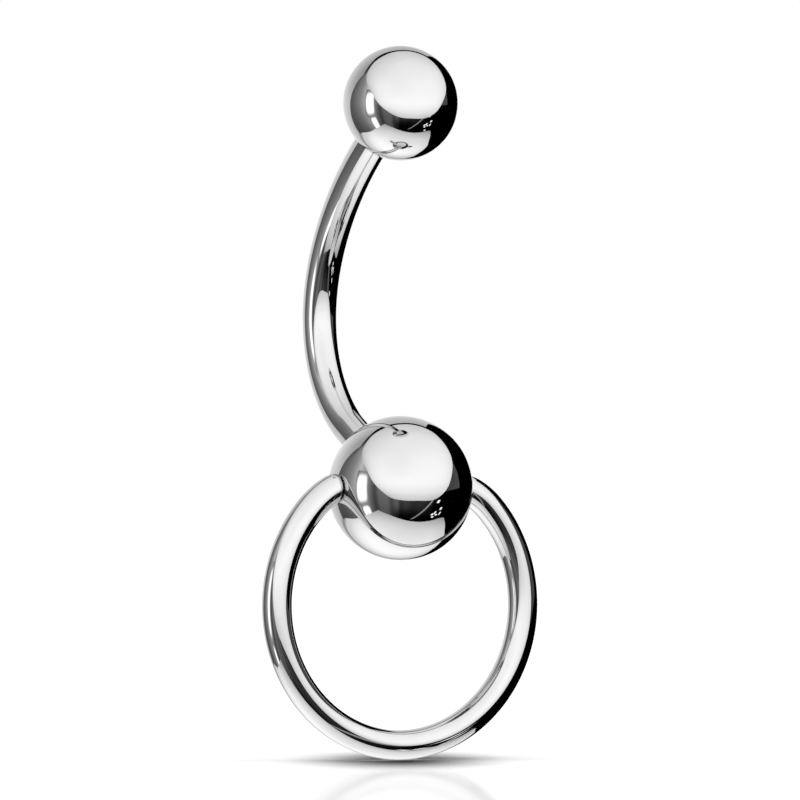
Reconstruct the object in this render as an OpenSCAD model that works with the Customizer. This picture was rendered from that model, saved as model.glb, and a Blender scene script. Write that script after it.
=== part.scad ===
// Navel ring: a curved barbell with a ball on each end and a ring that swings from the lower ball.
// Lengths are in millimetres and angles in degrees.
// +Z runs up from the lower ball to the top ball, the bar bulges towards +Y, and X is the ring's hinge axis.
// The origin lies on the bar's centreline where the bar runs straight up, at the middle of its bulge.

/* [Bar] */
// Diameter of the bar that passes through the piercing
bar_d = 1.6; // [1.2:0.1:2]
// Length of the bar's straight run out of the lower ball
straight_run = 2.1; // [1:0.1:4]
// Radius of the quarter bend in the middle of the bar
middle_bend_r = 6.3; // [5:0.1:8]
// Radius of the slack bend that runs on up to the top ball
upper_bend_r = 16; // [12:0.5:20]
// Turn of the slack bend
upper_bend_a = 27; // [16:1:34]
// Diameter of the stub on each end of the bar, where the real bar is threaded
stub_d = 1.2; // [0.9:0.1:1.3]
// Length of each stub, from the bar's shoulder to its tip
stub_l = 1.5; // [1:0.1:1.8]
// Bevel round the tip of each stub
stub_bevel = 0.15; // [0.05:0.05:0.3]

/* [Balls] */
// Diameter of the top ball, which unscrews
top_ball_d = 5.4; // [4.4:0.1:6.4]
// Diameter of the lower ball, which carries the ring
lower_ball_d = 6.8; // [6:0.1:8]
// Depth of the bar's shoulder inside each ball, measured along the bar from the ball's surface
seat_depth = 0.3; // [0.2:0.05:0.5]

/* [Ring] */
// Diameter of the ring's wire
ring_wire_d = 1.4; // [1.2:0.1:1.8]
// Radius of the ring, to the middle of its wire
ring_r = 6.6; // [5.8:0.1:8]
// Distance from the ball's side out to where the middle of the wire crosses the hinge axis
wire_lead = 0.3; // [0.2:0.05:0.5]
// Diameter of the nose on each end of the ring
nose_d = 0.9; // [0.6:0.1:1]
// Depth to which each nose enters its dimple in the ball
nose_depth = 0.8; // [0.5:0.1:1.1]

/* [Clearances] */
// Gap all round each stub and each nose in its bore
bore_gap = 0.03; // [0.02:0.01:0.06]
// Gap past the tip of each stub and nose, and under the bar's shoulders
tip_gap = 0.05; // [0.02:0.01:0.1]
// Gap between the ring's cut ends and the ball
ring_gap = 0.05; // [0.03:0.01:0.1]

/* [Hidden] */
$fn = 96;
top_ball_r = top_ball_d / 2;
lower_ball_r = lower_ball_d / 2;

// The bar is first laid out from the lower ball's centre with its straight run along +Z.
// Each place is its [y, z] in the bar's plane.
quarter_at = [0, lower_ball_r + straight_run];
slack_at = quarter_at + middle_bend_r * [-1, 1];
shoulder_at = slack_at - upper_bend_r * [sin(upper_bend_a), 1 - cos(upper_bend_a)];
loose_top = shoulder_at - (top_ball_r - seat_depth) * [cos(upper_bend_a), sin(upper_bend_a)];

// It is then leant towards +Y until the top ball stands straight above the lower ball
lean = -atan2(loose_top[0], loose_top[1]);
top_lean = lean - 90 - upper_bend_a;
function leant(at) = [at[0] * cos(lean) + at[1] * sin(lean), at[1] * cos(lean) - at[0] * sin(lean)];

// The bulge is where the bar runs straight up, and the origin is put there
bulge = leant(quarter_at - [middle_bend_r, 0]) + [middle_bend_r, 0];
hinge_at = [0, -bulge[0], -bulge[1]];
top_at = hinge_at + [0, 0, norm(loose_top)];

// The ring's middle hangs straight below the hinge axis
ring_reach = lower_ball_r + wire_lead;
ring_drop = sqrt(ring_r * ring_r - ring_reach * ring_reach);

// A stretch of bar that leaves the origin along +Z and bends towards -Y
module bend(radius, turn) {
    rotate([90, 0, 90])
        translate([-radius, 0, 0])
            rotate_extrude(angle = turn) translate([radius, 0]) circle(d = bar_d);
}

// Moves to the far end of such a bend, with +Z running on along the bar
module past_bend(radius, turn) {
    translate([0, -radius, 0]) rotate([turn, 0, 0]) translate([0, radius, 0]) children();
}

// A bevelled stub that stands on the bar's shoulder and points along +Z, with its root inside the bar
module stub() {
    root = -stub_d / 2;
    rotate_extrude()
        polygon([
            [0, root],
            [stub_d / 2, root],
            [stub_d / 2, stub_l - stub_bevel],
            [stub_d / 2 - stub_bevel, stub_l],
            [0, stub_l],
        ]);
}

// The hole in a ball that takes the bar's end, drawn up from the ball's centre
module bar_socket(ball_r) {
    shoulder = ball_r - seat_depth - tip_gap;
    bore_d = stub_d + 2 * bore_gap;
    mouth_d = bar_d + 2 * bore_gap;
    translate([0, 0, shoulder - stub_l]) cylinder(h = stub_l + seat_depth, d = bore_d);
    translate([0, 0, shoulder]) cylinder(h = ball_r, d = mouth_d);
}

// The curved bar: a straight run, a quarter bend and a slack bend that run into each other
module curved_bar() {
    shoulder = lower_ball_r - seat_depth;
    color("silver")
        translate(hinge_at)
            rotate([-lean, 0, 0]) {
                translate([0, 0, shoulder]) mirror([0, 0, 1]) stub();
                translate([0, 0, shoulder]) cylinder(h = straight_run + seat_depth, d = bar_d);
                translate([0, 0, quarter_at[1]]) {
                    bend(middle_bend_r, 90);
                    past_bend(middle_bend_r, 90) {
                        bend(upper_bend_r, upper_bend_a);
                        past_bend(upper_bend_r, upper_bend_a) stub();
                    }
                }
            }
}

// The smaller ball, which unscrews from the bar's upper end
module top_ball() {
    color("gainsboro")
        translate(top_at)
            difference() {
                sphere(d = top_ball_d);
                rotate([180 - top_lean, 0, 0]) bar_socket(top_ball_r);
            }
}

// The larger ball, with a dimple in each side for the ring's noses
module lower_ball() {
    dimple_d = nose_d + 2 * bore_gap;
    dimple_floor = lower_ball_r - nose_depth - tip_gap;
    color("gainsboro")
        translate(hinge_at)
            difference() {
                sphere(d = lower_ball_d);
                rotate([-lean, 0, 0]) bar_socket(lower_ball_r);
                for (side = [-1, 1])
                    rotate([0, side * 90, 0])
                        translate([0, 0, dimple_floor]) cylinder(h = lower_ball_r, d = dimple_d);
            }
}

// The round wire ring, cut away where the ball sits, with a nose on each end along the hinge axis
module captive_ring() {
    nose_tip = lower_ball_r - nose_depth;
    color("silver")
        translate(hinge_at) {
            difference() {
                translate([0, 0, -ring_drop])
                    rotate([90, 0, 0])
                        rotate_extrude() translate([ring_r, 0]) circle(d = ring_wire_d);
                sphere(r = lower_ball_r + ring_gap);
            }
            for (side = [-1, 1])
                rotate([0, side * 90, 0])
                    translate([0, 0, nose_tip]) cylinder(h = ring_reach - nose_tip, d = nose_d);
        }
}

curved_bar();
top_ball();
lower_ball();
captive_ring();
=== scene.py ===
"""Looks, studio and camera of the navel ring: a curved barbell with a ball on each end and a swinging ring.

Every length is in millimetres until a mesh is made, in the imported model's frame: +Z runs up from the lower
ball to the top ball, the bar bulges towards +Y, and X is the ring's hinge axis.
"""

import logging
import math
from collections.abc import Sequence
from dataclasses import dataclass, field
from enum import Enum

import bpy
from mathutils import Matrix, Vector


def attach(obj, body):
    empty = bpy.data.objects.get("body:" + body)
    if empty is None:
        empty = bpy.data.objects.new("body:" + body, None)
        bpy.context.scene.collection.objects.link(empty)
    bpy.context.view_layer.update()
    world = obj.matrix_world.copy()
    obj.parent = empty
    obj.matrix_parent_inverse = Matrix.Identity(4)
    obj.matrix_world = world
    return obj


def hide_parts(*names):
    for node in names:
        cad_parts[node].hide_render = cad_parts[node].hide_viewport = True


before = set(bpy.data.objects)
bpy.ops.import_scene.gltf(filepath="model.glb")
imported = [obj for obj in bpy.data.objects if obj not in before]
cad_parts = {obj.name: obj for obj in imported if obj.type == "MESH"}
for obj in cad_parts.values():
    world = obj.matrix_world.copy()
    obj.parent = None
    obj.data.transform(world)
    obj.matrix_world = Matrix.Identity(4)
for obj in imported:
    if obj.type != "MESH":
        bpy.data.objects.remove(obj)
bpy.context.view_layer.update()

MM = 0.001
# Places that round to the same one of these steps are one point
STEPS_PER_MM = 1e5
ROUNDING_STEPS = 5
ALONG_HINGE = Vector((1.0, 0.0, 0.0))
TO_BULGE = Vector((0.0, 1.0, 0.0))
UP = Vector((0.0, 0.0, 1.0))
log = logging.getLogger("navel_ring")


class Body(Enum):
    """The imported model's bodies."""

    BARBELL = "barbell"
    RING = "ring"
    TOP = "top"


class Slot(Enum):
    """The record's material slots."""

    MIRROR_STEEL = "mirror_steel"
    POLISHED_WIRE = "polished_wire"


def placed(name: str, data: bpy.types.ID) -> bpy.types.Object:
    """Makes an object of a mesh, a light or a camera and puts it in the scene.

    Args:
        name: The object's name.
        data: What it is made of.

    Returns:
        The new object, at the origin of the frame.
    """
    obj = bpy.data.objects.new(name, data)
    bpy.context.scene.collection.objects.link(obj)
    return obj


# Surfaces


@dataclass(frozen=True)
class Corner:
    """A point on a surface, in millimetres, and the way that the true surface faces there."""

    at: Vector
    facing: Vector


class Shell:
    """A closed skin that is gathered patch by patch and shaded by its true surface."""

    def __init__(self) -> None:
        """Starts an empty skin."""
        self._points: list[Vector] = []
        self._known: dict[tuple[int, ...], int] = {}
        self._faces: list[list[int]] = []
        self._facings: list[list[Vector]] = []

    def _point(self, at: Vector) -> int:
        """Finds or adds a point.

        Args:
            at: The place in millimetres.

        Returns:
            The point's number, which patches that meet there share.
        """
        key = tuple(round(way * STEPS_PER_MM) for way in at)
        if key not in self._known:
            self._known[key] = len(self._points)
            self._points.append(at)
        return self._known[key]

    def face(self, corners: Sequence[Corner]) -> None:
        """Adds a face, turned so that its front is where its corners face.

        Args:
            corners: The face's corners in order round it.
        """
        kept = [c for i, c in enumerate(corners) if (c.at - corners[i - 1].at).length > 1 / STEPS_PER_MM]
        if len(kept) < 3:
            return
        flat = (kept[1].at - kept[0].at).cross(kept[2].at - kept[0].at)
        if len(kept) == 4:
            flat = (kept[2].at - kept[0].at).cross(kept[3].at - kept[1].at)
        if flat.dot(sum((c.facing for c in kept), Vector())) < 0:
            kept.reverse()
        self._faces.append([self._point(c.at) for c in kept])
        self._facings.append([c.facing for c in kept])

    def rings(self, rows: Sequence[Sequence[Corner]]) -> None:
        """Joins closed rows of corners, each to the next.

        Args:
            rows: Rows with as many corners each, in order over the surface.
        """
        for lower, upper in zip(rows, rows[1:]):
            for i in range(len(lower)):
                self.face((lower[i - 1], lower[i], upper[i], upper[i - 1]))

    def cap(self, centre: Corner, rim: Sequence[Corner]) -> None:
        """Closes a row of corners with a fan round a centre."""
        for i in range(len(rim)):
            self.face((centre, rim[i - 1], rim[i]))

    def piece(self, name: str, node: str, body: Body, slot: Slot, finish: bpy.types.Material) -> None:
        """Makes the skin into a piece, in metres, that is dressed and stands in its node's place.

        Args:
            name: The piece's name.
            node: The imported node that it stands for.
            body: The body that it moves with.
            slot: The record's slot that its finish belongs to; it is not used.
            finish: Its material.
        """
        mesh = bpy.data.meshes.new(name)
        mesh.from_pydata([tuple(p * MM) for p in self._points], [], self._faces)
        mesh.polygons.foreach_set("use_smooth", [True] * len(mesh.polygons))
        mesh.update()
        mesh.normals_split_custom_set([tuple(n.normalized()) for ns in self._facings for n in ns])
        mesh.materials.append(finish)
        piece = placed(name, mesh)
        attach(piece, body.value)
        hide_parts(node)
        log.info("%s stands for %s with %d faces", name, node, len(mesh.polygons))


@dataclass(frozen=True)
class Cut:
    """One point on the outline of a turned shape, and the way that the shape faces there."""

    along: float
    radius: float
    face_along: float
    face_out: float


def rounded(before: Cut, after: Cut, meet: tuple[float, float]) -> list[Cut]:
    """Rounds an edge between two points on an outline.

    Args:
        before: The outline's point where the rounding starts.
        after: The outline's point where it ends.
        meet: Where the two sides would meet, along the axis and out from it.

    Returns:
        The points from before to after, both among them.
    """
    cuts = []
    for t in spread(0.0, 1.0, ROUNDING_STEPS):
        keep, bend, reach = (1 - t) ** 2, 2 * t * (1 - t), t**2
        cuts.append(Cut(
            keep * before.along + bend * meet[0] + reach * after.along,
            keep * before.radius + bend * meet[1] + reach * after.radius,
            (1 - t) * before.face_along + t * after.face_along,
            (1 - t) * before.face_out + t * after.face_out,
        ))
    return cuts


@dataclass(frozen=True)
class Spindle:
    """An axis with two sides square to it, on which outlines are turned."""

    foot: Vector
    along: Vector
    side: Vector
    other: Vector

    @classmethod
    def at(cls, foot: Vector, along: Vector, side: Vector) -> "Spindle":
        """Makes a spindle from its axis and one side."""
        return cls(foot, along, side, along.cross(side))

    def out(self, bearing: float) -> Vector:
        """Gives the direction out from the axis at an angle round it."""
        return self.side * math.cos(bearing) + self.other * math.sin(bearing)

    def row(self, cut: Cut, bearings: Sequence[float]) -> list[Corner]:
        """Turns one outline point into a closed row.

        Args:
            cut: The point on the outline.
            bearings: The angles round the axis, in radians.

        Returns:
            The row's corners.
        """
        corners = []
        for out in map(self.out, bearings):
            at = self.foot + self.along * cut.along + out * cut.radius
            corners.append(Corner(at, self.along * cut.face_along + out * cut.face_out))
        return corners

    def tip(self, along: float, facing: float) -> Corner:
        """Gives the corner on the axis at a height, facing up or down it."""
        return Corner(self.foot + self.along * along, self.along * facing)


def even_bearings(count: int) -> list[float]:
    """Gives angles that go evenly once round, in radians."""
    return [math.tau * i / count for i in range(count)]


def spread(first: float, last: float, steps: int) -> list[float]:
    """Gives steps + 1 values from first to last, both among them."""
    return [first + (last - first) * i / steps for i in range(steps + 1)]


def ramp(pairs: Sequence[tuple[float, float]], x: float) -> float:
    """Reads a value off a line of straight stretches.

    Args:
        pairs: The line's corners, by rising first number.
        x: Where to read it.

    Returns:
        The value there, or the nearest end's value past the ends.
    """
    if x <= pairs[0][0]:
        return pairs[0][1]
    for (x0, y0), (x1, y1) in zip(pairs, pairs[1:]):
        if x <= x1:
            return y0 + (y1 - y0) * (x - x0) / (x1 - x0)
    return pairs[-1][1]


# Finishes


class NodeBench:
    """A material's node tree, with short ways to add to it."""

    def __init__(self, name: str) -> None:
        """Starts a material with nothing but its output."""
        self.material = bpy.data.materials.new(name)
        self.material.use_nodes = True
        self.tree = self.material.node_tree
        self.tree.nodes.clear()
        self.output = self.tree.nodes.new("ShaderNodeOutputMaterial")

    def add(
        self, kind: str, inputs: dict[str | int, object] | None = None, **settings: object
    ) -> bpy.types.Node:
        """Adds a node.

        Args:
            kind: The node's type name.
            inputs: What goes into its inputs, by name or number: a value, or another node's output.
            **settings: Properties of the node, by name.

        Returns:
            The new node.
        """
        node = self.tree.nodes.new(kind)
        for key, value in settings.items():
            setattr(node, key, value)
        for key, value in (inputs or {}).items():
            if isinstance(value, bpy.types.NodeSocket):
                self.tree.links.new(value, node.inputs[key])
            else:
                node.inputs[key].default_value = value
        return node

    def noise(self, where: bpy.types.NodeSocket, size_mm: float, detail: float) -> bpy.types.NodeSocket:
        """Adds noise with features of a size, over coordinates in metres, and gives its value."""
        inputs = {"Vector": where, "Scale": 1 / (size_mm * MM), "Detail": detail}
        return self.add("ShaderNodeTexNoise", inputs).outputs["Fac"]

    def between(self, value: bpy.types.NodeSocket, low: float, high: float) -> bpy.types.NodeSocket:
        """Stretches a noise value, which mostly lies from 0.3 to 0.7, over a range."""
        inputs = {"Value": value, "From Min": 0.3, "From Max": 0.7, "To Min": low, "To Max": high}
        return self.add("ShaderNodeMapRange", inputs).outputs["Result"]

    def finish(self, surface: bpy.types.NodeSocket) -> bpy.types.Material:
        """Links the surface to the material's output and gives the finished material."""
        self.tree.links.new(surface, self.output.inputs["Surface"])
        return self.material


@dataclass(frozen=True)
class SteelFinish:
    """Surgical steel, buffed to a mirror, with the faint haze and hairlines that buffing leaves.

    Sizes and depths are in millimetres.
    """

    name: str
    dark_tone: tuple[float, float, float]
    least_rough: float
    most_rough: float
    hairline_size: tuple[float, float, float]
    light_tone: tuple[float, float, float] = (0.65, 0.65, 0.65)
    hairline_turn: tuple[float, float, float] = (0.4, 0.9, 0.2)
    hairline_depth: float = 2.5e-6
    cloud_size: float = 1.6
    haze_size: float = 0.35
    edge_tint: float = 0.8

    def material(self) -> bpy.types.Material:
        """Makes the finish's material.

        Returns:
            A metallic material whose tone, gloss and hairlines come from its nodes.
        """
        bench = NodeBench(self.name)
        where = bench.add("ShaderNodeTexCoord").outputs["Object"]
        clouds = bench.between(bench.noise(where, self.cloud_size, 3.0), 0.0, 1.0)
        tones = {0: clouds, 6: (*self.dark_tone, 1.0), 7: (*self.light_tone, 1.0)}
        tone = bench.add("ShaderNodeMix", tones, data_type="RGBA")
        haze = bench.noise(where, self.haze_size, 4.0)
        turned = bench.add("ShaderNodeMapping", {
            "Vector": where,
            "Rotation": self.hairline_turn,
            "Scale": tuple(1 / (size * MM) for size in self.hairline_size),
        })
        one_metre = 1 / MM
        lines = bench.noise(turned.outputs["Vector"], one_metre, 2.0)
        bump = bench.add("ShaderNodeBump", {
            "Height": lines, "Distance": self.hairline_depth * MM, "Strength": 1.0,
        })
        steel = bench.add("ShaderNodeBsdfPrincipled", {
            "Base Color": tone.outputs[2],
            "Metallic": 1.0,
            "Roughness": bench.between(haze, self.least_rough, self.most_rough),
            "Specular Tint": (self.edge_tint, self.edge_tint, self.edge_tint, 1.0),
            "Normal": bump.outputs["Normal"],
        })
        return bench.finish(steel.outputs["BSDF"])


MIRROR = SteelFinish(
    "mirror_buffed_steel", dark_tone=(0.63, 0.63, 0.633), least_rough=0.02, most_rough=0.045,
    hairline_size=(0.05, 0.9, 0.9),
)
WIRE = SteelFinish(
    "polished_steel_wire", dark_tone=(0.62, 0.62, 0.623), least_rough=0.025, most_rough=0.055,
    hairline_size=(0.04, 1.2, 0.04),
)


# The jewel's sub-assemblies


@dataclass
class Barbell:
    """The curved bar: a straight run and a bend that slackens on its way up, with a stub on each end."""

    bar_r: float = 0.8
    length: float = 22.9516
    bend_start: float = 5.4
    bend_radii: tuple[tuple[float, float], ...] = (
        (5.8, 6.13), (7.5, 6.32), (9.5, 5.88), (11.5, 5.86), (13.5, 7.23), (15.5, 9.9), (17.5, 13.27),
        (20.0, 16.66), (23.0, 17.427),
    )
    stub_r: float = 0.6
    stub_l: float = 1.5
    stub_bevel: float = 0.15
    shoulder_round: float = 0.04
    thread_pitch: float = 0.25
    thread_depth: float = 0.07
    thread_run_in: float = 0.12
    rows_per_turn: int = 12
    seat_depth: float = 0.3
    top_ball_r: float = 2.7
    lower_ball_r: float = 3.4
    lean: float = math.radians(60.2719)
    hinge_at: Vector = field(default_factory=lambda: Vector((0.0, -7.95214, -8.19856)))
    balls_apart: float = 18.08195
    sides: int = 96
    run_steps: int = 8
    bend_steps: int = 120
    _step: float = 0.01
    _walk: list[tuple[float, float, float]] = field(init=False, default_factory=list)

    def __post_init__(self) -> None:
        """Walks along the bar once, before it is leant, and notes each step's place and turn."""
        bends = [(self.bend_start, 0.0), *((way, 1 / r) for way, r in self.bend_radii)]
        y = z = turn = 0.0
        for i in range(round(self.length / self._step) + 2):
            self._walk.append((y, z, turn))
            bend = ramp(bends, (i + 0.5) * self._step) * self._step
            y -= math.sin(turn + bend / 2) * self._step
            z += math.cos(turn + bend / 2) * self._step
            turn += bend

    @property
    def top_at(self) -> Vector:
        """The top ball's centre, which stands straight above the lower ball's."""
        return self.hinge_at + UP * self.balls_apart

    def _leant(self, y: float, z: float) -> Vector:
        """Leans a direction or a place in the bar's plane about the lower ball's centre."""
        c, s = math.cos(self.lean), math.sin(self.lean)
        return Vector((0.0, y * c + z * s, z * c - y * s))

    def spindle(self, way: float) -> Spindle:
        """Gives the bar's own axis at a place along it.

        Args:
            way: The way along the bar from the lower ball's centre.

        Returns:
            A spindle there, which points on along the bar.
        """
        i = min(int(way / self._step), len(self._walk) - 2)
        t = way / self._step - i
        y, z, turn = (u + (v - u) * t for u, v in zip(self._walk[i], self._walk[i + 1]))
        along = self._leant(-math.sin(turn), math.cos(turn))
        return Spindle.at(self.hinge_at + self._leant(y, z), along, ALONG_HINGE)

    def _threaded_stub(self, shell: Shell, shoulder: Spindle) -> None:
        """Adds a stub that is cut with a fine thread.

        Args:
            shell: The bar's skin.
            shoulder: The spindle on the shoulder, which points out along the stub.
        """
        bearings, threaded = even_bearings(self.sides), self.stub_l - self.stub_bevel
        rows = []
        for along in spread(0.0, threaded, int(threaded / self.thread_pitch * self.rows_per_turn)):
            run_in = min(1.0, along / self.thread_run_in, (threaded - along) / self.thread_run_in)
            depth = self.thread_depth * run_in
            row = []
            for b in bearings:
                phase = math.tau * (along / self.thread_pitch) - b
                radius = self.stub_r - depth * (0.5 - 0.5 * math.cos(phase))
                slope = depth * math.pi / self.thread_pitch * math.sin(phase)
                at = shoulder.foot + shoulder.along * along + shoulder.out(b) * radius
                row.append(Corner(at, shoulder.out(b) + shoulder.along * slope))
            rows.append(row)
        shell.rings(rows)
        slant = math.sqrt(0.5)
        tip_r = self.stub_r - self.stub_bevel
        bevel = [Cut(threaded, self.stub_r, slant, slant), Cut(self.stub_l, tip_r, slant, slant)]
        shell.rings([shoulder.row(c, bearings) for c in bevel])
        shell.cap(shoulder.tip(self.stub_l, 1), shoulder.row(Cut(self.stub_l, tip_r, 1, 0), bearings))

    def _shoulder(self, shell: Shell, shoulder: Spindle) -> None:
        """Adds the flat step from the bar down to its stub, with a softened edge.

        Args:
            shell: The bar's skin.
            shoulder: The spindle on the step, which points out along the stub.
        """
        soft = self.shoulder_round
        edge = rounded(Cut(-soft, self.bar_r, 0, 1), Cut(0, self.bar_r - soft, 1, 0), (0, self.bar_r))
        cuts = [*edge, Cut(0, self.stub_r, 1, 0)]
        shell.rings([shoulder.row(c, even_bearings(self.sides)) for c in cuts])

    def make(self, finish: bpy.types.Material) -> None:
        """Builds the bar.

        Args:
            finish: Its material.
        """
        shell, bearings = Shell(), even_bearings(self.sides)
        lowest, soft = self.lower_ball_r - self.seat_depth, self.shoulder_round
        ways = spread(lowest + soft, self.bend_start, self.run_steps)[:-1]
        ways += spread(self.bend_start, self.length - soft, self.bend_steps)
        skin = Cut(0, self.bar_r, 0, 1)
        shell.rings([self.spindle(w).row(skin, bearings) for w in ways])
        upper, lower = self.spindle(self.length), self.spindle(lowest)
        lower = Spindle(lower.foot, -lower.along, lower.side, lower.other)
        for end in (upper, lower):
            self._shoulder(shell, end)
            self._threaded_stub(shell, end)
        shell.piece("bar", "curved_bar", Body.BARBELL, Slot.POLISHED_WIRE, finish)


@dataclass
class Ball:
    """A polished ball with a stepped socket for the bar, and on the lower one a dimple in each side."""

    centre: Vector
    radius: float
    socket_along: Vector
    dimples: bool = False
    seat_depth: float = 0.3
    tip_gap: float = 0.05
    mouth_r: float = 0.83
    bore_r: float = 0.63
    stub_l: float = 1.5
    dimple_r: float = 0.48
    dimple_depth: float = 0.85
    lip: float = 0.03
    side_steps: int = 24
    rings: int = 22

    def _hole(self, hole_r: float, floor: float) -> list[Cut]:
        """Gives the outline of a hole in the ball, with a rounded lip.

        Args:
            hole_r: The hole's radius.
            floor: Its floor's distance from the ball's centre.

        Returns:
            The outline from the ball's surface to the edge of the floor.
        """
        out = hole_r + self.lip
        height = math.sqrt(self.radius**2 - out**2)
        meet = math.sqrt(self.radius**2 - hole_r**2)
        start = Cut(height, out, height / self.radius, out / self.radius)
        lip = rounded(start, Cut(meet - self.lip, hole_r, 0, -1), (meet, hole_r))
        return [*lip, Cut(floor, hole_r, 0, -1), Cut(floor, hole_r, 1, 0)]

    def _socket(self) -> list[Cut]:
        """Gives the outline of the bar's stepped socket.

        Returns:
            The outline from the ball's surface to the edge of the bore's end.
        """
        floor = self.radius - self.seat_depth - self.tip_gap
        end = floor - self.stub_l
        return [
            *self._hole(self.mouth_r, floor), Cut(floor, self.bore_r, 1, 0),
            Cut(floor, self.bore_r, 0, -1), Cut(end, self.bore_r, 0, -1), Cut(end, self.bore_r, 1, 0),
        ]

    def _sixth(self, shell: Shell, spindle: Spindle, hole: Sequence[Cut]) -> None:
        """Adds one of the six parts of the ball's skin, with its hole if it has one.

        Args:
            shell: The ball's skin.
            spindle: The part's own axis, from the ball's centre.
            hole: The hole's outline, or nothing.
        """
        bearings, reaches = [], []
        # The part reaches out to where it meets its four neighbours
        for quarter in range(4):
            for u in spread(-math.pi / 4, math.pi / 4, self.side_steps)[:-1]:
                bearings.append(quarter * math.pi / 2 + u)
                reaches.append(math.atan(1 / math.cos(u)))
        first = math.asin(hole[0].radius / self.radius) if hole else 0.0
        rows = []
        for t in spread(0.0, 1.0, self.rings):
            row = []
            for b, reach in zip(bearings, reaches):
                away = first + (reach - first) * t
                facing = spindle.along * math.cos(away) + spindle.out(b) * math.sin(away)
                row.append(Corner(spindle.foot + facing * self.radius, facing))
            rows.append(row)
        if not hole:
            shell.rings(rows[1:])
            shell.cap(spindle.tip(self.radius, 1), rows[1])
            return
        shell.rings(rows)
        inside = [spindle.row(c, bearings) for c in hole]
        shell.rings(inside)
        shell.cap(spindle.tip(hole[-1].along, 1), inside[-1])

    def make(self, name: str, node: str, body: Body, finish: bpy.types.Material) -> None:
        """Builds the ball.

        Args:
            name: The piece's name.
            node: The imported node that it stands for.
            body: The body that it moves with.
            finish: Its material.
        """
        shell, along = Shell(), self.socket_along
        across = along.cross(ALONG_HINGE)
        dimple = self._hole(self.dimple_r, self.radius - self.dimple_depth) if self.dimples else []
        for axis, side, hole in (
            (along, ALONG_HINGE, self._socket()), (-along, ALONG_HINGE, []),
            (-ALONG_HINGE, along, dimple), (-across, ALONG_HINGE, []),
            (ALONG_HINGE, along, dimple), (across, ALONG_HINGE, []),
        ):
            self._sixth(shell, Spindle.at(self.centre, axis, side), hole)
        shell.piece(name, node, body, Slot.MIRROR_STEEL, finish)


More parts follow.
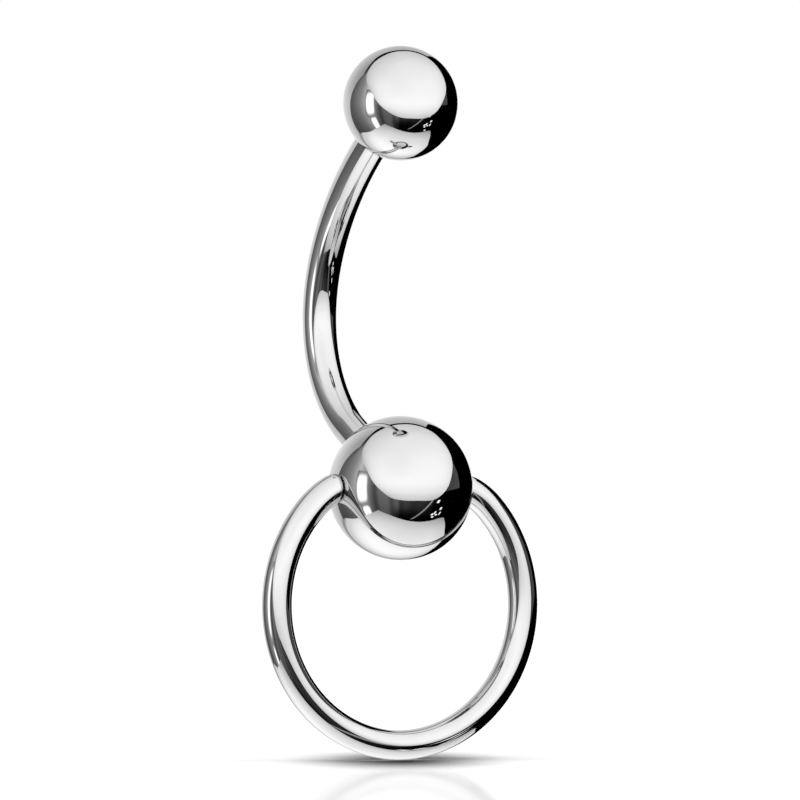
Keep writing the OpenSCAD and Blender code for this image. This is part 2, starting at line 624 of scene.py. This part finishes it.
@dataclass
class CaptiveRing:
    """The round wire ring, whose ends bend in a little, are hollowed to the ball and carry a nose each.

    end_bends gives how far the ends at -X and +X bend in, and ends_between the turns that they lie between.
    """

    hinge_at: Vector
    ball_r: float = 3.4
    ring_r: float = 6.6
    wire_r: float = 0.7
    wire_lead: float = 0.3
    ball_gap: float = 0.05
    nose_r: float = 0.45
    nose_depth: float = 0.8
    nose_bevel: float = 0.06
    end_round: float = 0.2
    tip_round: float = 0.4
    inset_share: float = 0.8
    end_bends: tuple[float, float] = (0.07, 0.13)
    bend_span: float = math.radians(12)
    ends_between: tuple[float, float] = (1.9, 3.0)
    sides: int = 64
    steps: int = 200
    face_steps: int = 12
    edge_steps: int = 4
    halvings: int = 28

    @property
    def cut_r(self) -> float:
        """The radius of the hollow in each end."""
        return self.ball_r + self.ball_gap

    @property
    def drop(self) -> float:
        """How far the ring's middle hangs below the hinge axis."""
        reach = self.ball_r + self.wire_lead
        return math.sqrt(self.ring_r**2 - reach**2)

    def _on_wire(self, turn: float, bearing: float) -> Corner:
        """Gives a corner on the wire's skin.

        Args:
            turn: The angle round the ring, from its lowest point towards +X.
            bearing: The angle round the wire, from the ring's outside.

        Returns:
            The corner.
        """
        out = Vector((math.sin(turn), 0.0, -math.cos(turn)))
        bend_start = math.pi / 2 + math.asin(self.drop / self.ring_r) - self.bend_span
        past = max(0.0, abs(turn) - bend_start) / self.bend_span
        bend = self.end_bends[turn > 0] * past
        slope = math.copysign(2 * bend / self.bend_span / self.ring_r, turn)
        leant = (out + Vector((-out.z, 0.0, out.x)) * slope).normalized()
        facing = leant * math.cos(bearing) + TO_BULGE * math.sin(bearing)
        at = self.hinge_at - UP * self.drop + out * (self.ring_r - bend * past) + facing * self.wire_r
        return Corner(at, facing)

    def _cut_turn(self, side: int, bearing: float, sphere_r: float) -> float:
        """Finds where a line along the wire meets a sphere about the hinge.

        Args:
            side: +1 for the end at +X, or -1.
            bearing: The line's angle round the wire.
            sphere_r: The sphere's radius.

        Returns:
            The angle round the ring.
        """
        low, high = self.ends_between
        for _ in range(self.halvings):
            middle = (low + high) / 2
            if (self._on_wire(side * middle, bearing).at - self.hinge_at).length > sphere_r:
                low = middle
            else:
                high = middle
        return side * low

    def _softness(self, bearing: float) -> float:
        """Gives how far an end's edge is rounded back, which is most on the ring's outside."""
        return self.end_round + self.tip_round * max(0.0, math.cos(bearing)) ** 1.5

    def _skin_end(self, side: int, bearing: float) -> float:
        """Gives the angle round the ring where the wire's skin ends and its rounded edge begins."""
        return self._cut_turn(side, bearing, self.cut_r + self._softness(bearing))

    def _end(self, shell: Shell, side: int, bearings: Sequence[float]) -> None:
        """Adds the hollowed end of the wire and its nose.

        Args:
            shell: The ring's skin.
            side: +1 for the end at +X, or -1.
            bearings: The angles round the wire.
        """
        axis = ALONG_HINGE * side
        nose = Spindle.at(self.hinge_at, axis, UP)
        root, tip = math.sqrt(self.cut_r**2 - self.nose_r**2), self.ball_r - self.nose_depth
        skin = [self._on_wire(self._skin_end(side, b), b) for b in bearings]
        rims = [self._on_wire(self._cut_turn(side, b, self.cut_r), b).at for b in bearings]
        rows, around = [], []
        for rim in rims:
            meet = rim - self.hinge_at
            flat = meet - axis * meet.dot(axis)
            around.append(math.atan2(flat.dot(nose.other), flat.dot(nose.side)))
        last = nose.row(Cut(root, self.nose_r, 0, 1), around)
        for t in spread(0.0, 1.0, self.face_steps):
            row = []
            for b, edge, end in zip(bearings, rims, last):
                rim, foot = edge - self.hinge_at, end.at - self.hinge_at
                inset = self.inset_share * min(1.0, self._softness(b) / (rim - foot).length)
                share = inset + (1 - inset) * t
                place = (rim * (1 - share) + foot * share).normalized()
                row.append(Corner(self.hinge_at + place * self.cut_r, -place))
            rows.append(row)
        shell.rings([skin, *self._soft_edge(skin, rims, rows[0]), rows[0]])
        shell.rings(rows)
        bevel = Cut(tip + self.nose_bevel, self.nose_r, 0, 1)
        cuts = rounded(bevel, Cut(tip, self.nose_r - self.nose_bevel, -1, 0), (tip, self.nose_r))
        turned = [last, *(nose.row(c, around) for c in cuts)]
        shell.rings(turned)
        shell.cap(nose.tip(tip, -1), turned[-1])

    def _soft_edge(
        self, skin: Sequence[Corner], rims: Sequence[Vector], face: Sequence[Corner]
    ) -> list[list[Corner]]:
        """Rounds the edge between the wire's skin and its hollowed end.

        Args:
            skin: The last row on the wire's skin.
            rims: Where the skin would meet the hollowed end in a sharp edge.
            face: The first row on the hollowed end.

        Returns:
            The rows between the two.
        """
        rows = []
        for t in spread(0.0, 1.0, self.edge_steps)[1:-1]:
            row = []
            for start, meet, end in zip(skin, rims, face):
                at = start.at * (1 - t) ** 2 + meet * 2 * t * (1 - t) + end.at * t**2
                row.append(Corner(at, start.facing * (1 - t) + end.facing * t))
            rows.append(row)
        return rows

    def make(self, finish: bpy.types.Material) -> None:
        """Builds the ring.

        Args:
            finish: Its material.
        """
        shell, bearings = Shell(), even_bearings(self.sides)
        ends = [(self._skin_end(1, b), self._skin_end(-1, b)) for b in bearings]
        shell.rings([
            [self._on_wire(start + (end - start) * t, b) for b, (start, end) in zip(bearings, ends)]
            for t in spread(0.0, 1.0, self.steps)
        ])
        for side in (-1, 1):
            self._end(shell, side, bearings)
        shell.piece("ring", "captive_ring", Body.RING, Slot.POLISHED_WIRE, finish)


# The studio

# A place on a sheet with its level there, which on a card is its brightness from 0 to 255
Spot = tuple[Vector, float]
Rows = list[list[Spot]]


class Ray(Enum):
    """The kinds of ray that a studio piece may be hidden from."""

    CAMERA = "visible_camera"
    DIFFUSE = "visible_diffuse"
    GLOSSY = "visible_glossy"
    TRANSMISSION = "visible_transmission"
    VOLUME = "visible_volume_scatter"
    SHADOW = "visible_shadow"


def light_level(level: float) -> float:
    """Turns a brightness from 0 to 255, as it looks on a screen, into an amount of light."""
    v = level / 255
    return v / 12.92 if v <= 0.04045 else ((v + 0.055) / 1.055) ** 2.4


def eased(pairs: Sequence[tuple[float, float]], x: float) -> float:
    """Reads a value off a smooth line through points.

    Args:
        pairs: The points that the line passes, by rising first number.
        x: Where to read it, between the first and the last.

    Returns:
        The value there.
    """
    last = len(pairs) - 2
    i = next((k for k in range(last) if x <= pairs[k + 1][0]), last)
    (x0, y0), (x1, y1) = pairs[i], pairs[i + 1]
    before, after = pairs[max(i - 1, 0)], pairs[min(i + 2, last + 1)]
    wide = x1 - x0
    rise0 = (y1 - before[1]) / (x1 - before[0]) * wide
    rise1 = (after[1] - y0) / (after[0] - x0) * wide
    t = (x - x0) / wide
    bend0, bend1 = t * (1 - t) ** 2 * rise0, t**2 * (t - 1) * rise1
    return y0 + (y1 - y0) * t * t * (3 - 2 * t) + bend0 + bend1


@dataclass(frozen=True)
class StudioSpace:
    """The studio's own directions: right and front as the camera sees them, and up."""

    middle: Vector
    right: Vector
    front: Vector

    def place(self, right: float, front: float, up: float) -> Vector:
        """Gives the place at these distances from the jewel's middle, in millimetres."""
        return self.middle + self.right * right + self.front * front + UP * up

    def towards(self, azimuth: float, height: float, away: float) -> Vector:
        """Gives the place at an azimuth from the camera to the right, a height and a level distance."""
        a = math.radians(azimuth)
        return self.place(away * math.sin(a), away * math.cos(a), height)

    def sighted(self, azimuth: float, elevation: float, away: float) -> Vector:
        """Gives the place at an azimuth and an elevation in degrees, at a level distance."""
        return self.towards(azimuth, away * math.tan(math.radians(elevation)), away)


def sheet(name: str, rows: Rows, paint: bpy.types.Material, hidden: Sequence[Ray]) -> None:
    """Puts up a sheet of the studio.

    Args:
        name: The sheet's name.
        rows: Its points row by row, each with the level that its material may read there.
        paint: Its material.
        hidden: The rays that it is hidden from.
    """
    wide = len(rows[0])
    faces = [
        (j * wide + i, j * wide + i + 1, (j + 1) * wide + i + 1, (j + 1) * wide + i)
        for j in range(len(rows) - 1) for i in range(wide - 1)
    ]
    spots = [spot for row in rows for spot in row]
    mesh = bpy.data.meshes.new(name)
    mesh.from_pydata([tuple(at * MM) for at, _ in spots], [], faces)
    mesh.attributes.new("level", "FLOAT", "POINT").data.foreach_set("value", [level for _, level in spots])
    mesh.materials.append(paint)
    obj = placed(name, mesh)
    for ray in hidden:
        setattr(obj, ray.value, False)


@dataclass
class Card:
    """A sheet of card, cloth or glass in the studio that the polished steel mirrors."""

    name: str
    rows: Rows
    gain: float = 1.56

    def make(self) -> None:
        """Builds the card as a glowing sheet that shows up in reflections alone."""
        bench = NodeBench(self.name + "_glow")
        read = bench.add("ShaderNodeAttribute", attribute_name="level")
        shine = bench.add("ShaderNodeEmission", {"Strength": read.outputs["Fac"]})
        glow = bench.finish(shine.outputs["Emission"])
        glow.cycles.emission_sampling = "NONE"
        rows = [[(at, light_level(level) * self.gain) for at, level in row] for row in self.rows]
        sheet(self.name, rows, glow, [ray for ray in Ray if ray is not Ray.GLOSSY])
        log.info("%s is hung", self.name)


@dataclass(frozen=True)
class Tie:
    """A place where the tent's hem is tied: an azimuth from the camera, a level distance and a height."""

    azimuth: float
    away: float
    height: float


@dataclass
class Studio:
    """The white tent round the jewel, with what its open side lets the steel mirror."""

    space: StudioSpace
    table_up: float = -60.0
    wall_away: float = 700.0
    window_away: float = 680.0
    hem: tuple[Tie, ...] = (
        Tie(-180, 73, 108), Tie(-170, 73, 112), Tie(-150, 74, 117), Tie(-120, 76, 98), Tie(-100, 78, 75),
        Tie(-75, 91, 54), Tie(-60, 96, 37), Tie(-45, 94, 8), Tie(-30, 97, -15), Tie(-15, 93, -33),
        Tie(2, 74, -33.5), Tie(28, 69, -32.2), Tie(55, 77, -31), Tie(75, 78, -14), Tie(95, 76, 14),
        Tie(115, 71, 35), Tie(130, 77, 57), Tie(145, 82, 75), Tie(160, 75, 88), Tie(170, 73, 97),
        Tie(180, 73, 108),
    )

    def _hem_at(self, azimuth: float) -> tuple[float, float]:
        """Gives the hem's level distance and height at an azimuth."""
        away = eased([(t.azimuth, t.away) for t in self.hem], azimuth)
        return away, eased([(t.azimuth, t.height) for t in self.hem], azimuth)

    def tent(self) -> Card:
        """Hangs the white tent, from its hem up to a point overhead.

        Returns:
            The tent, which is lit best at the front and darkens towards its back and its hem.
        """
        peak, lens_at, lens_half, lens_shade = 120, (3, 55), (24, 32), 7
        by_height = [
            (-45, 188), (-33, 206), (-26, 218), (-18, 234), (-8, 243), (6, 251), (30, 248), (65, 244),
            (85, 238), (105, 233), (120, 229),
        ]
        by_side = [
            (-180, -18), (-150, -25), (-120, -22), (-90, -18), (-60, -11), (-30, -3), (10, 0), (70, -1),
            (100, -6), (125, -12), (150, -22), (180, -18),
        ]
        hem_shade = [
            (-125, 11), (-100, 34), (-85, 44), (-65, 41), (-48, 32), (-22, 28), (-8, 7), (40, 7), (62, 24),
            (130, 22), (150, 14),
        ]
        hem_soft = [(-70, 8), (-40, 7), (40, 7), (60, 12)]
        overhead = [(60, 1.0), (90, 0.3)]
        rows = []
        # The rows lie closer together near the hem
        for t in (s**1.5 for s in spread(0.0, 1.0, 26)):
            row = []
            for azimuth in spread(-180, 180, 144):
                away, height = self._hem_at(azimuth)
                low = math.atan2(height, away)
                far = math.hypot(away, height) * (1 - t) + peak * t
                el = low + (math.pi / 2 - low) * t
                up = far * math.sin(el)
                shade = ramp(by_side, azimuth) * ramp(overhead, math.degrees(el))
                soft = math.radians(ramp(hem_soft, azimuth))
                shade -= ramp(hem_shade, azimuth) * math.exp((low - el) / soft)
                aside, above = (azimuth - lens_at[0]) / lens_half[0], (up - lens_at[1]) / lens_half[1]
                shade -= lens_shade * math.exp(-(aside**2) - above**2)
                level = ramp(by_height, up) + shade
                row.append((self.space.towards(azimuth, up, far * math.cos(el)), level))
            rows.append(row)
        return Card("tent", rows)

    def wall(self) -> Card:
        """Builds the grey wall beyond the tent's open left side.

        Returns:
            The wall, which is brightest beside its windows and dim in its far upper corner.
        """
        corner_dim = 0.6
        across = [
            (-135, 84), (-116, 86), (-108, 94), (-100, 109), (-90, 124), (-80, 154), (-74, 178), (-53, 122),
            (-50, 110), (-46, 85), (-42, 69), (-39, 78), (-37, 96), (-34, 106), (-22, 108), (-18, 91),
            (-16, 75), (-14, 72), (-11, 86), (-5, 92), (-3, 74), (0, 52), (3, 48), (7, 60), (13, 58),
            (18, 48), (24, 43), (34, 46), (44, 36), (60, 8),
        ]
        left_fall = [(-40, 0.76), (-25, 0.84), (0, 1.0), (30, 1.04), (50, 1.3)]
        front_fall = [(-50, 0.03), (-45, 0.1), (-40, 0.3), (-35, 0.62), (-30, 0.87), (-24, 1.0), (0, 1.08)]
        rows = []
        for el in spread(-65, 65, 32):
            row = []
            for azimuth in spread(-135, 60, 130):
                front = ramp([(-26, 0.0), (0, 1.0)], azimuth)
                fall = ramp(left_fall, el) * (1 - front) + ramp(front_fall, el) * front
                corner = ramp([(-118, 1.0), (-104, 0.0)], azimuth) * ramp([(30, 0.0), (38, 1.0)], el)
                fall *= 1 - corner_dim * corner
                row.append((self.space.sighted(azimuth, el, self.wall_away), ramp(across, azimuth) * fall))
            rows.append(row)
        return Card("left_wall", rows)

    def window(self, name: str, middle: tuple[float, float], half: tuple[float, float]) -> Card:
        """Puts a bright window with a soft edge in the wall.

        Args:
            name: The window's name.
            middle: Its middle's azimuth and elevation in degrees.
            half: Half its width and half its height in degrees.

        Returns:
            The window.
        """
        margin = (1.3, 1.25)
        by_way_out = [(0.84, 265), (1.0, 215), (1.1, 150), (1.3, 118)]
        rows = []
        for v in spread(-margin[1], margin[1], 30):
            row = []
            for u in spread(-margin[0], margin[0], 26):
                way_out = (abs(u) ** 4 + abs(v) ** 4) ** 0.25
                at = self.space.sighted(middle[0] + u * half[0], middle[1] + v * half[1], self.window_away)
                row.append((at, ramp(by_way_out, way_out)))
            rows.append(row)
        return Card(name, rows)

    def back_card(self) -> Card:
        """Stands the pale card behind the jewel on the left, leaning in, up to a little below the hem.

        Returns:
            The card, with a thin line of shade where it stands on the table.
        """
        foot_away, lean, tall = 117, 0.288, 156
        by_way = [
            (0.0, 195), (0.12, 210), (0.25, 218), (0.42, 226), (0.5, 222), (0.6, 210), (0.75, 194),
            (1.0, 174),
        ]
        by_side = [(155, -16), (170, -4), (195, 3), (205, 0), (220, -12), (235, -32), (250, -40)]
        foot_shade = [(180, 60), (200, 68), (220, 60), (232, 28)]
        foot_fade = [(0.0, 1.0), (0.02, 0.7), (0.05, 0.1), (0.08, 0.0)]
        top_by_side = [
            (154, 68), (160, 74), (170, 83), (180, 91), (190, 93), (200, 91), (222, 90), (230, 88),
            (240, 81), (250, 68),
        ]
        rows = []
        for t in (0.0, 0.02, 0.05, 0.08, *spread(0.12, 1.0, 15)):
            left_end, right_end = 230 + 20 * t, ramp([(0.0, 177.5), (0.72, 166.0), (1.0, 155.5)], t)
            row = []
            for azimuth in spread(right_end, left_end, 28):
                height = self.table_up + (ramp(top_by_side, azimuth) - self.table_up) * t
                away = foot_away - lean * (height - self.table_up)
                shade = ramp(foot_fade, t) * ramp(foot_shade, azimuth)
                level = ramp(by_way, (height - self.table_up) / tall) + ramp(by_side, azimuth) - shade
                row.append((self.space.towards(azimuth, height, away), level))
            rows.append(row)
        return Card("back_card", rows)

    def table(self) -> Card:
        """Lays the white table top below the jewel.

        Returns:
            The table top, which is brightest behind the jewel on the left.
        """
        outline = [
            (75, 0), (65, 11), (41, 24), (20, 35), (0, 45), (-20, 54), (-52, 62), (-57, 48), (-66, 25),
            (-72, 0), (-84, -30), (-93, -54), (-92, -80), (-60, -103), (0, -120), (17, -98), (26, -73),
            (44, -51), (53, -30), (67, -12), (75, 0),
        ]
        white, to_back_left = 232, (-0.5, -0.87)
        by_way = [
            (-45, -42), (-33, -32), (-20, -15), (0, 0), (14, 13), (22, 20), (33, 28), (46, 32), (75, 35),
        ]
        by_reach = [(20, 0), (34, -3), (46, -14), (62, -29), (82, -58), (120, -75)]
        far_edge = [(84, 0), (92, -8), (97, -5), (104, 20), (117, 58)]
        rows = []
        for t in (*spread(0.0, 0.9, 14), 0.95, 1.0):
            row = []
            for (r0, f0), (r1, f1) in zip(outline, outline[1:]):
                for u in spread(0.0, 1.0, 4):
                    right, front = (r0 + (r1 - r0) * u) * t, (f0 + (f1 - f0) * u) * t
                    level = white + ramp(by_way, to_back_left[0] * right + to_back_left[1] * front)
                    reach = math.hypot(right, front)
                    level += ramp(by_reach, reach) - ramp(far_edge, reach)
                    row.append((self.space.place(right, front, self.table_up), level))
            rows.append(row)
        return Card("table_top", rows)

    def side_panel(self) -> Card:
        """Stands the dark grey panel beyond the right side.

        Returns:
            The panel.
        """
        near, grey, slant, fade = 80, 58, 1.5, 0.5
        rows = []
        for el in spread(-4, 26, 4):
            row = []
            for azimuth in spread(76, 109, 6):
                at = self.space.sighted(azimuth, el, self.wall_away) + UP * slant * (azimuth - near)
                row.append((at, grey + fade * (azimuth - near)))
            rows.append(row)
        return Card("side_panel", rows)

    def stand_leg(self) -> Card:
        """Sets up the leg of a light stand in the dark below the tent's front.

        Returns:
            The leg, which widens and brightens from its foot to its head.
        """
        foot = self.space.towards(azimuth=24, height=-104, away=84)
        head = self.space.towards(azimuth=57, height=-42, away=142)
        rows = []
        for t in spread(0.0, 1.0, 8):
            across = [(-1.0, 30), (-0.4, 138 + 20 * t), (0.4, 130), (1.0, 25)]
            half = self.space.right * (7 + 5 * t)
            rows.append([(foot * (1 - t) + head * t + half * u, level) for u, level in across])
        return Card("stand_leg", rows)

    def crumpled_foil(self) -> list[Card]:
        """Adds scraps of crumpled foil by the tent's front, which give small sparkles.

        Returns:
            One card for each glint.
        """
        # The azimuth, elevation, half the width and half the height of each, in degrees
        glints = [
            (66, -20, 2.6, 2.4), (63, -38, 2.0, 2.0), (67, -35, 1.6, 2.6), (66, -41, 2.4, 1.4),
            (71, -37, 2.2, 1.3), (75, -28, 1.9, 2.2), (77, -34, 1.3, 2.6), (73, -46, 2.0, 1.8),
        ]
        away, bright, dark, skew, corner = 200, 275, 25, 0.5, 1.2
        cards, steps = [], (-1, -0.5, 0.5, 1)
        for i, (azimuth, el, wide, tall) in enumerate(glints):
            rows = [
                [
                    (
                        self.space.sighted(azimuth + (u + skew * v) * wide, el + v * tall, away),
                        bright if abs(u) + abs(v) < corner else dark,
                    )
                    for u in steps
                ]
                for v in steps
            ]
            cards.append(Card(f"foil_{i + 1}", rows))
        return cards

    def horizon(self) -> Card:
        """Hangs a pale cloth far behind the jewel, which the floor's gloss mirrors.

        Returns:
            The cloth.
        """
        behind, half, heights, grey = 1900, 400, (-40, 120), 206
        return Card("horizon", [
            [(self.space.place(right, -behind, up), grey) for right in (-half, half)] for up in heights
        ])

    def make(self) -> None:
        """Builds every card."""
        cards = [
            self.tent(), self.wall(), self.back_card(), self.table(), self.side_panel(), self.stand_leg(),
            self.window("tall_window", middle=(-64.5, -0.4), half=(9.2, 18.2)),
            self.window("low_window", middle=(-62.3, -36.6), half=(7.0, 11.6)),
            self.horizon(), *self.crumpled_foil(),
        ]
        for card in cards:
            card.make()


@dataclass
class Floor:
    """The plain white floor that the ring stands on, with a gloss that begins a little in front of it."""

    height: float
    middle: Vector
    front: Vector
    size: float = 900.0
    white: float = 0.8
    gloss: float = 0.4
    gloss_from: float = 9.0
    gloss_full: float = 22.0
    gloss_rough: float = 0.05
    gloss_ior: float = 1.45

    def make(self) -> None:
        """Lays the floor."""
        bench = NodeBench("white_floor")
        paint = bench.add("ShaderNodeBsdfDiffuse", {"Color": (self.white, self.white, self.white, 1.0)})
        shine = bench.add("ShaderNodeBsdfAnisotropic", {"Roughness": self.gloss_rough})
        slant = bench.add("ShaderNodeFresnel", {"IOR": self.gloss_ior})
        where = bench.add("ShaderNodeTexCoord").outputs["Object"]
        ahead = bench.add("ShaderNodeVectorMath", {0: where, 1: tuple(self.front)}, operation="DOT_PRODUCT")
        foot = self.front.dot(self.middle)
        begins = {
            "Value": ahead.outputs["Value"],
            "From Min": (foot + self.gloss_from) * MM,
            "From Max": (foot + self.gloss_full) * MM,
            "To Max": self.gloss,
        }
        fade = bench.add("ShaderNodeMapRange", begins, interpolation_type="SMOOTHSTEP").outputs["Result"]
        share = bench.add("ShaderNodeMath", {0: slant.outputs["Fac"], 1: fade}, operation="MULTIPLY")
        both = bench.add("ShaderNodeMixShader", {
            "Fac": share.outputs["Value"], 1: paint.outputs["BSDF"], 2: shine.outputs["BSDF"],
        })
        middle, ends = Vector((*self.middle.xy, self.height)), (-self.size, self.size)
        rows = [[(middle + Vector((x, y, 0.0)), 1.0) for x in ends] for y in ends]
        sheet("floor", rows, bench.finish(both.outputs["Shader"]), [Ray.GLOSSY])
        log.info("the floor lies at %.2f mm", self.height)


@dataclass
class Lighting:
    """The soft light from above with its flag, and the white surround that the camera sees."""

    floor: Floor
    space: StudioSpace
    angle: float = 110.0
    brightness: float = 1.14
    flag_half: tuple[float, float] = (6.2, 19.5)
    flag_lift: float = 0.6
    flag_ahead: float = 0.6

    def _flag(self) -> None:
        """Holds an oval flag of scrim low over the floor, which deepens the shadow under the ring."""
        foot = Vector((*self.floor.middle.xy, self.floor.height + self.flag_lift))
        foot += self.space.front * self.flag_ahead
        rows = []
        for t in spread(0.0, 1.0, 24):
            row = []
            for b in spread(0.0, math.tau, 64):
                aside = self.space.right * (self.flag_half[0] * t * math.cos(b))
                at = foot + aside + self.space.front * (self.flag_half[1] * t * math.sin(b))
                row.append((at, 0.5 + 0.5 * math.cos(math.pi * t)))
            rows.append(row)
        bench = NodeBench("flag_scrim")
        read = bench.add("ShaderNodeAttribute", attribute_name="level")
        clear = bench.add("ShaderNodeBsdfTransparent")
        cloth = bench.add("ShaderNodeBsdfDiffuse", {"Color": (0.0, 0.0, 0.0, 1.0)})
        scrim = bench.add("ShaderNodeMixShader", {
            "Fac": read.outputs["Fac"], 1: clear.outputs["BSDF"], 2: cloth.outputs["BSDF"],
        })
        sheet("flag", rows, bench.finish(scrim.outputs["Shader"]), [Ray.CAMERA, Ray.GLOSSY])

    def make(self) -> None:
        """Sets up the light, its flag and the surround."""
        data = bpy.data.lights.new("overhead", "SUN")
        data.energy = self.brightness * math.pi / self.floor.white
        data.angle = math.radians(self.angle)
        placed("overhead", data).visible_glossy = False
        self._flag()
        world = bpy.data.worlds.new("surround")
        bpy.context.scene.world = world
        world.use_nodes = True
        world.node_tree.nodes["Background"].inputs["Color"].default_value = (1.0, 1.0, 1.0, 1.0)
        world.cycles_visibility.glossy = False
        world.cycles_visibility.diffuse = False
        bpy.context.scene.view_settings.view_transform = "Standard"


@dataclass
class Photographer:
    """The level camera with a long lens, at the photograph's viewing angle."""

    aim: Vector
    back: Vector
    away: float = 550.0
    frame_width: float = 37.583
    film_width: float = 36.0

    def make(self) -> None:
        """Sets up the scene's camera."""
        data = bpy.data.cameras.new("camera")
        data.sensor_width = self.film_width
        data.lens = self.film_width * self.away / self.frame_width
        data.clip_start, data.clip_end = 0.01, 10.0
        camera = placed("camera", data)
        camera.rotation_mode = "QUATERNION"
        camera.rotation_quaternion = (-self.back).to_track_quat("-Z", "Y")
        camera.location = (self.aim + self.back * self.away) * MM
        bpy.context.scene.camera = camera


def main() -> None:
    """Builds the jewel, the studio and the camera in order."""
    mirror, wire = MIRROR.material(), WIRE.material()
    barbell = Barbell()
    barbell.make(wire)
    Ball(
        barbell.hinge_at, barbell.lower_ball_r, barbell.spindle(0.0).along, dimples=True
    ).make("ring_ball", "lower_ball", Body.BARBELL, mirror)
    Ball(
        barbell.top_at, barbell.top_ball_r, -barbell.spindle(barbell.length).along
    ).make("screw_ball", "top_ball", Body.TOP, mirror)
    ring = CaptiveRing(barbell.hinge_at)
    ring.make(wire)

    view_angle = math.radians(-29)
    back = Vector((math.sin(view_angle), -math.cos(view_angle), 0.0))
    right = Vector((math.cos(view_angle), math.sin(view_angle), 0.0))
    space = StudioSpace((barbell.hinge_at + barbell.top_at) / 2, right, back)
    Studio(space).make()
    floor_at = barbell.hinge_at.z - ring.drop - ring.ring_r - ring.wire_r
    floor = Floor(floor_at, barbell.hinge_at, back)
    floor.make()
    Lighting(floor, space).make()
    aim_height, aim_left = -4.06, 0.019
    aim = Vector((0.0, barbell.hinge_at.y, aim_height)) - right * aim_left
    Photographer(aim, back).make()


if __name__ == "__main__":
    logging.basicConfig(level=logging.INFO, format="%(name)s: %(message)s")
    main()
